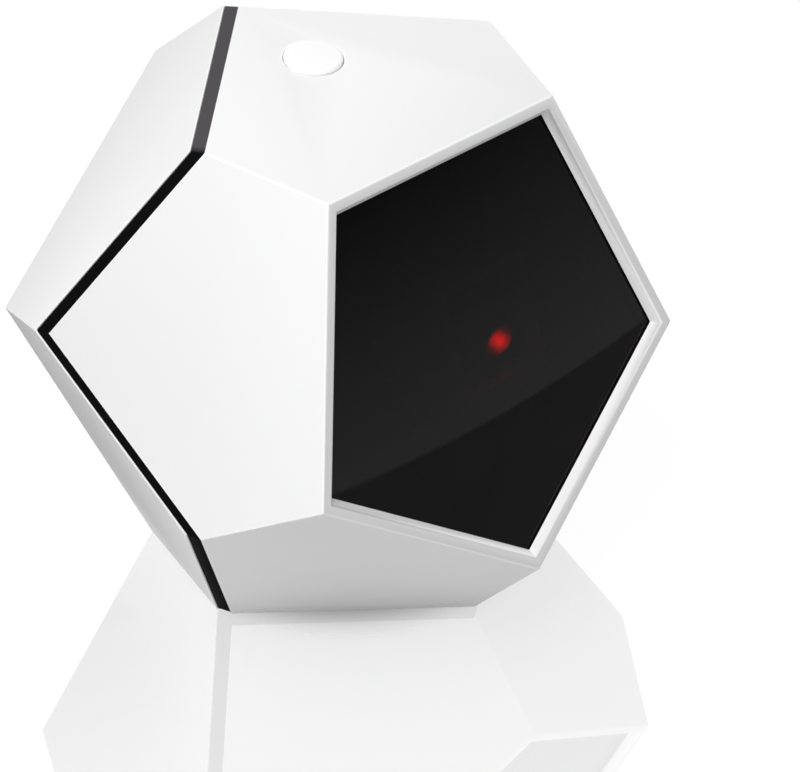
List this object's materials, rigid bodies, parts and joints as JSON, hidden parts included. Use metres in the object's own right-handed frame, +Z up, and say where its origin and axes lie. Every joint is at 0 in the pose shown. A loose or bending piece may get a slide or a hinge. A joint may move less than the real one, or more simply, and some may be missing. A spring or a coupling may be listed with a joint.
{
  "type": "automatic cat laser toy",
  "caption": "Faceted plastic ball with a smoked pentagonal window, a push button and a battery door, holding a laser that is panned and tilted by geared motors.",
  "frame": {"origin": "centre of the overall box, at the height of the face it stands on", "axes": "+X to the toy's own left-to-right as seen from the front, -Y towards the front where the window looks, +Z up"},
  "size_m": [0.1102, 0.1024, 0.1007],
  "materials": {
    "white_shell": "moulded glossy white, slightly satin flats",
    "button_white": "moulded glossy white",
    "band_black": "moulded black",
    "smoked_window": "polished smoked sheet, nearly opaque",
    "tape_black": "foam tape",
    "tray_white": "moulded, fine texture",
    "mount_grey": "moulded dark grey",
    "acetal_natural": "natural acetal",
    "brass": "turned",
    "steel": "bright zinc-plated",
    "cell_jacket": "printed film jacket, bare of marks",
    "circuit_board": "green solder mask",
    "black_plastic": "moulded black",
    "plug_cream": "moulded nylon",
    "lens_red": "clear red-lit lens",
    "lead_red": "insulated wire",
    "lead_grey": "insulated wire",
    "lead_blue": "insulated wire"
  },
  "bodies": {
    "case": {"front_shell": "white_shell", "rear_shell": "white_shell", "mid_ring": "band_black", "window": "smoked_window", "window_tape": "tape_black", "tact_switch": "black_plastic", "button_board": "circuit_board", "button_board_screws": "steel", "battery_tray": "tray_white", "tray_screws": "steel", "cell_upper": "cell_jacket", "cell_middle": "cell_jacket", "cell_lower": "cell_jacket", "cell_springs": "steel", "cell_contacts": "steel", "mechanism_plate": "mount_grey", "plate_screws": "steel", "gimbal_base": "mount_grey", "gimbal_base_screws": "steel", "gimbal_top_arm": "mount_grey", "pan_motor": "steel", "pan_motor_screws": "steel", "main_board": "circuit_board", "controller_chip": "black_plastic", "board_plugs": "plug_cream", "main_board_screws": "steel", "case_screws": "steel", "battery_leads": "lead_red", "button_leads": "lead_grey", "motor_leads": "lead_blue"},
    "button": {"button_cap": "button_white", "switch_plunger": "black_plastic"},
    "door": {"battery_door": "white_shell"},
    "pan_head": {"pan_yoke": "acetal_natural", "pan_pins": "steel", "pan_sector": "acetal_natural", "tilt_motor": "steel"},
    "pan_drive": {"pan_shaft": "steel", "pan_pinion": "brass"},
    "tilt_head": {"tilt_cradle": "acetal_natural", "tilt_pins": "steel", "tilt_sector": "acetal_natural", "laser_barrel": "brass", "laser_lens": "lens_red", "laser_board": "circuit_board"},
    "tilt_drive": {"tilt_shaft": "steel", "tilt_pinion": "brass"}
  },
  "joints": [
    {"name": "button_press", "type": "slide", "parent": "case", "child": "button", "axis": [0, 0.1097, -0.994], "range_m": [0, 0.0004], "stiffness_N_per_m": 2500, "springref_m": -0.0002},
    {"name": "battery_door_hinge", "type": "hinge", "parent": "case", "child": "door", "pos_m": [0, 0.02742, 0.01397], "axis": [-1, 0, 0], "range_deg": [0, 80]},
    {"name": "pan", "type": "hinge", "parent": "case", "child": "pan_head", "pos_m": [0.0093, -0.02539, 0.05405], "axis": [0, 0.3173, 0.9483], "range_deg": [-30, 30]},
    {"name": "pan_pinion_spin", "type": "hinge", "parent": "case", "child": "pan_drive", "pos_m": [0.0093, -0.01116, 0.04929], "axis": [0, 0.3173, 0.9483], "range_deg": [-121, 121]},
    {"name": "tilt", "type": "hinge", "parent": "pan_head", "child": "tilt_head", "pos_m": [0.0093, -0.02539, 0.05405], "axis": [1, 0, 0], "range_deg": [-15, 15]},
    {"name": "tilt_pinion_spin", "type": "hinge", "parent": "pan_head", "child": "tilt_drive", "pos_m": [0.0093, -0.01543, 0.05071], "axis": [1, 0, 0], "range_deg": [-38, 38]}
  ],
  "couplings": [
    {"joint": "pan_pinion_spin", "follows": "pan", "ratio": -4},
    {"joint": "tilt_pinion_spin", "follows": "tilt", "ratio": -2.5}
  ]
}
